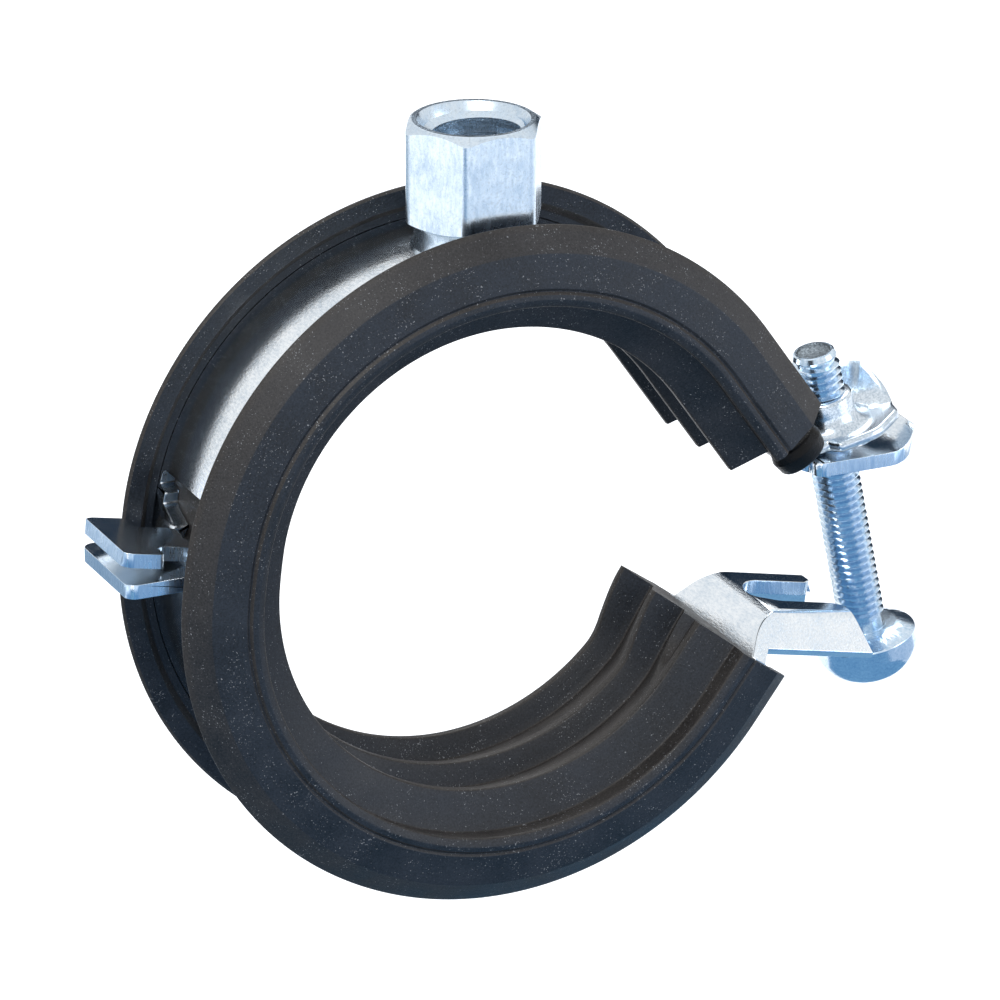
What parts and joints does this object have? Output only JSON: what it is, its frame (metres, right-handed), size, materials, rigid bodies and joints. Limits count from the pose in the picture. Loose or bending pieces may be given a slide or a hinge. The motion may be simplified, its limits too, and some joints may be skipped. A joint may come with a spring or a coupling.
{
  "type": "cushioned pipe clamp",
  "caption": "Hinged two-part pipe clamp with a ribbed rubber lining, a hexagonal rod connection nut on top and a swing-in locking screw at the side.",
  "frame": {"origin": "centre of the upper half's pipe seat, half way along its ribs' width", "axes": "+X towards the locking screw, +Y along the pipe, +Z towards the connection nut"},
  "size_m": [0.0912, 0.023, 0.081],
  "materials": {
    "zinc_steel": "blue-passivated zinc plating, bright",
    "rubber": "matt moulded",
    "black_rubber": "satin moulded"
  },
  "bodies": {
    "upper_half": {"upper_strap": "zinc_steel", "connection_nut": "zinc_steel", "lining_upper": "rubber", "retaining_ring": "black_rubber"},
    "lower_half": {"lower_strap": "zinc_steel", "lining_lower": "rubber"},
    "plate": {"nut_plate": "zinc_steel"},
    "screw": {"locking_screw": "zinc_steel"}
  },
  "joints": [
    {"name": "lower_half_swing", "type": "hinge", "parent": "upper_half", "child": "lower_half", "pos_m": [-0.033, 0, 0.0033], "axis": [0, -1, 0], "range_deg": [0, 8]},
    {"name": "screw_swing", "type": "hinge", "parent": "upper_half", "child": "plate", "pos_m": [0.03714, 0, 0.00387], "axis": [0, 1, 0], "range_deg": [-8, 5]},
    {"name": "screw_travel", "type": "slide", "parent": "plate", "child": "screw", "axis": [-0.2011, 0, 0.9796], "range_m": [0, 0.0102]}
  ],
  "couplings": [
    {"joint": "screw_travel", "follows": "lower_half_swing", "m_per_rad": 0.0725}
  ]
}
